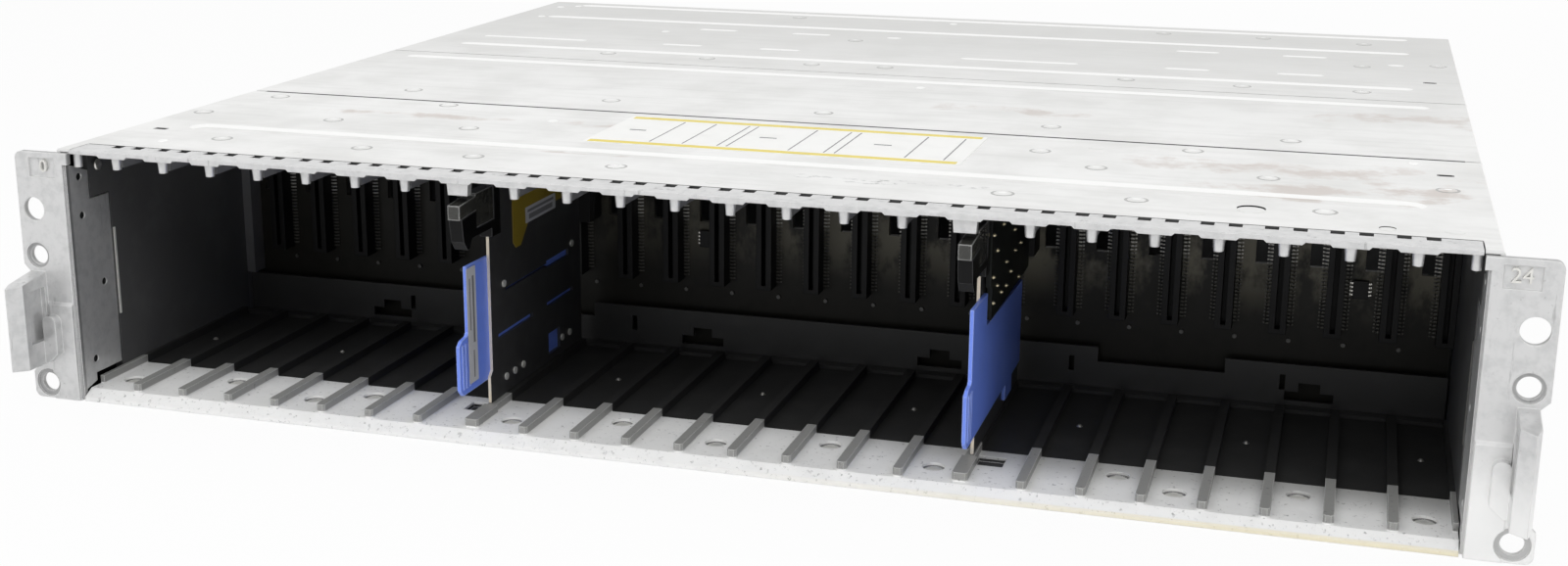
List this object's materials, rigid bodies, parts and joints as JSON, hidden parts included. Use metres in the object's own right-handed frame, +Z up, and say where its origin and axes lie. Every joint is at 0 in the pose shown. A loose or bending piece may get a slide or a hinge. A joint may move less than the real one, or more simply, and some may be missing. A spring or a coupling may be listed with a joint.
{
  "type": "storage enclosure",
  "caption": "Rack-mount storage enclosure: a flat sheet-steel case with a row of open drive bays, cast rack ears with pulls, a midplane of upright connectors and pull-out service cards.",
  "frame": {"origin": "on the underside, below the middle of the whole enclosure, pulls included", "axes": "+X across the case to the right as seen from the front, +Y from the drive bays to the rear, +Z up"},
  "size_m": [0.4766, 0.442, 0.0862],
  "materials": {
    "galvanised_steel": "galvanised, satin",
    "cast_grey": "light grey, fine grain",
    "dark_paint": "near-black, matt",
    "bright_screw": "bright zinc",
    "board": "dark circuit board",
    "black_plastic": "matt",
    "card_steel": "black coat, bare front edge",
    "card_board": "circuit board with gold pads",
    "amber_film": "thin glossy film",
    "blue_plastic": "satin moulding",
    "clear_plastic": "clear moulding"
  },
  "bodies": {
    "enclosure": {"base_pan": "galvanised_steel", "front_cover": "galvanised_steel", "middle_cover": "galvanised_steel", "rear_cover": "galvanised_steel", "left_ear": "cast_grey", "right_ear": "cast_grey", "upper_guide_rail": "cast_grey", "lower_guide_sill": "cast_grey", "upper_guide_plate": "dark_paint", "floor_guide_plate": "dark_paint", "left_wall_liner": "dark_paint", "right_wall_liner": "dark_paint", "left_bay_wall": "dark_paint", "right_bay_wall": "dark_paint", "module_shelf": "dark_paint", "midplane_lower_bracket": "dark_paint", "midplane_upper_bracket": "dark_paint", "midplane_posts": "dark_paint", "sill_screws": "bright_screw", "floor_rivets": "bright_screw", "ear_screws": "bright_screw", "midplane_screws": "bright_screw", "midplane_board": "board", "drive_connectors": "black_plastic", "card_sockets": "black_plastic", "module_connectors": "black_plastic", "board_chips": "black_plastic"},
    "left_card": {"left_card_plate": "card_steel", "left_card_board": "card_board", "left_card_spacers": "card_steel", "left_card_plug": "black_plastic", "left_insulator": "amber_film", "left_pull_tag": "blue_plastic", "left_light_pipe": "clear_plastic", "left_pipe_holder": "black_plastic", "left_card_rivets": "bright_screw"},
    "right_card": {"right_card_plate": "card_steel", "right_card_board": "card_board", "right_card_spacers": "card_steel", "right_card_plug": "black_plastic", "right_insulator": "amber_film", "right_pull_tag": "blue_plastic", "right_light_pipe": "clear_plastic", "right_pipe_holder": "black_plastic", "right_card_rivets": "bright_screw"}
  },
  "joints": [
    {"name": "left_card_slide", "type": "slide", "parent": "enclosure", "child": "left_card", "axis": [0, -1, 0], "range_m": [0, 0.08]},
    {"name": "right_card_slide", "type": "slide", "parent": "enclosure", "child": "right_card", "axis": [0, -1, 0], "range_m": [0, 0.08]}
  ]
}
